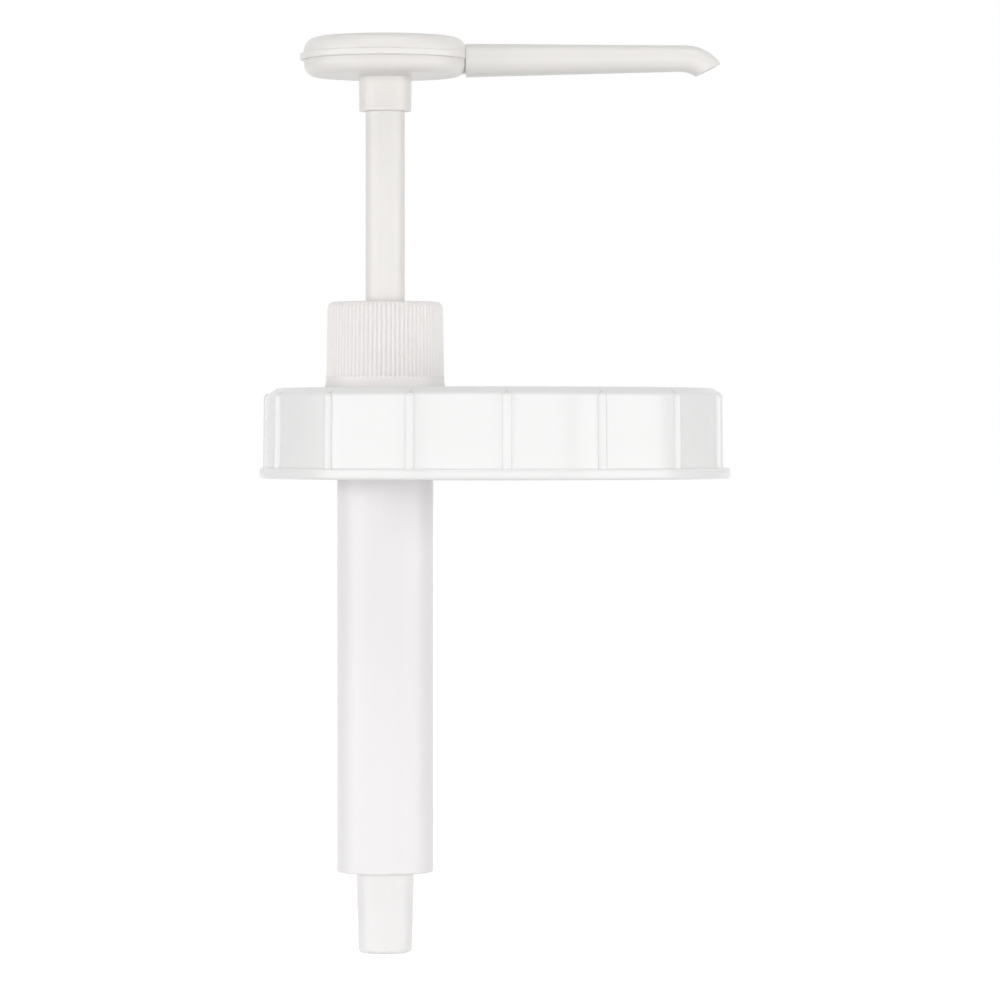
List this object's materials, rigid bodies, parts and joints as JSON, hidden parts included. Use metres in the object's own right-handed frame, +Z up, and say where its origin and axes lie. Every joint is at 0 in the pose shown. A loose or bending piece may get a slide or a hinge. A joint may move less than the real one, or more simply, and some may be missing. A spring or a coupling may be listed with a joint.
{
  "type": "condiment pump dispenser",
  "caption": "Hand pump on a ribbed screw lid for a wide-mouth jar: a round push head with a long spout, a knurled clamping cap and a straight barrel that reaches into the jar.",
  "frame": {"origin": "centre of the jar seat, the underside of the lid's liner ring, on the lid's own axis", "axes": "+Z up along the lid and pump axes, +X towards the end of the spout; the pump stands off the lid's axis at X = -27.4 mm"},
  "size_m": [0.1176, 0.1176, 0.2291],
  "materials": {
    "lid_white": "gloss white polypropylene",
    "liner": "soft white foam liner",
    "cap_white": "satin white plastic",
    "barrel_white": "satin white plastic",
    "natural_plastic": "milky natural plastic, satin",
    "seal_rubber": "black food-grade rubber",
    "gasket_rubber": "white food-grade rubber",
    "steel": "bright stainless steel"
  },
  "bodies": {
    "lid": {"lid": "lid_white", "lid_liner": "liner"},
    "barrel": {"barrel": "barrel_white", "barrel_gasket": "gasket_rubber", "foot_valve_body": "natural_plastic", "foot_o_ring": "seal_rubber", "inlet_ball_cage": "natural_plastic", "return_spring": "steel", "stem_guide": "natural_plastic", "guide_gasket": "gasket_rubber", "stem_seal": "seal_rubber"},
    "cap": {"screw_cap": "cap_white"},
    "piston": {"piston": "natural_plastic", "upper_piston_seal": "seal_rubber", "lower_piston_seal": "seal_rubber", "outlet_ball_cage": "natural_plastic"},
    "head": {"stem": "natural_plastic", "head_seal": "seal_rubber", "head_base": "natural_plastic", "head_cover": "natural_plastic", "spout": "natural_plastic"},
    "inlet_ball": {"inlet_ball": "steel"},
    "outlet_ball": {"outlet_ball": "steel"}
  },
  "joints": [
    {"name": "pump_drop", "type": "slide", "parent": "lid", "child": "barrel", "axis": [0, 0, -1], "range_m": [0, 0.002]},
    {"name": "cap_turn", "type": "hinge", "parent": "lid", "child": "cap", "pos_m": [-0.0274, 0, 0.0032], "axis": [0, 0, 1], "range_deg": [0, 240]},
    {"name": "plunger_stroke", "type": "slide", "parent": "barrel", "child": "piston", "axis": [0, 0, -1], "range_m": [0, 0.045], "stiffness_N_per_m": 450, "springref_m": -0.0125, "deforming": ["return_spring"]},
    {"name": "head_swivel", "type": "hinge", "parent": "piston", "child": "head", "pos_m": [-0.0274, 0, 0.05], "axis": [0, 0, 1], "continuous": true},
    {"name": "inlet_ball_lift", "type": "slide", "parent": "barrel", "child": "inlet_ball", "axis": [0, 0, 1], "range_m": [0, 0.0029]},
    {"name": "outlet_ball_lift", "type": "slide", "parent": "piston", "child": "outlet_ball", "axis": [0, 0, 1], "range_m": [0, 0.0019]}
  ],
  "couplings": [
    {"joint": "cap_turn", "follows": "pump_drop", "rad_per_m": 2094.4}
  ]
}
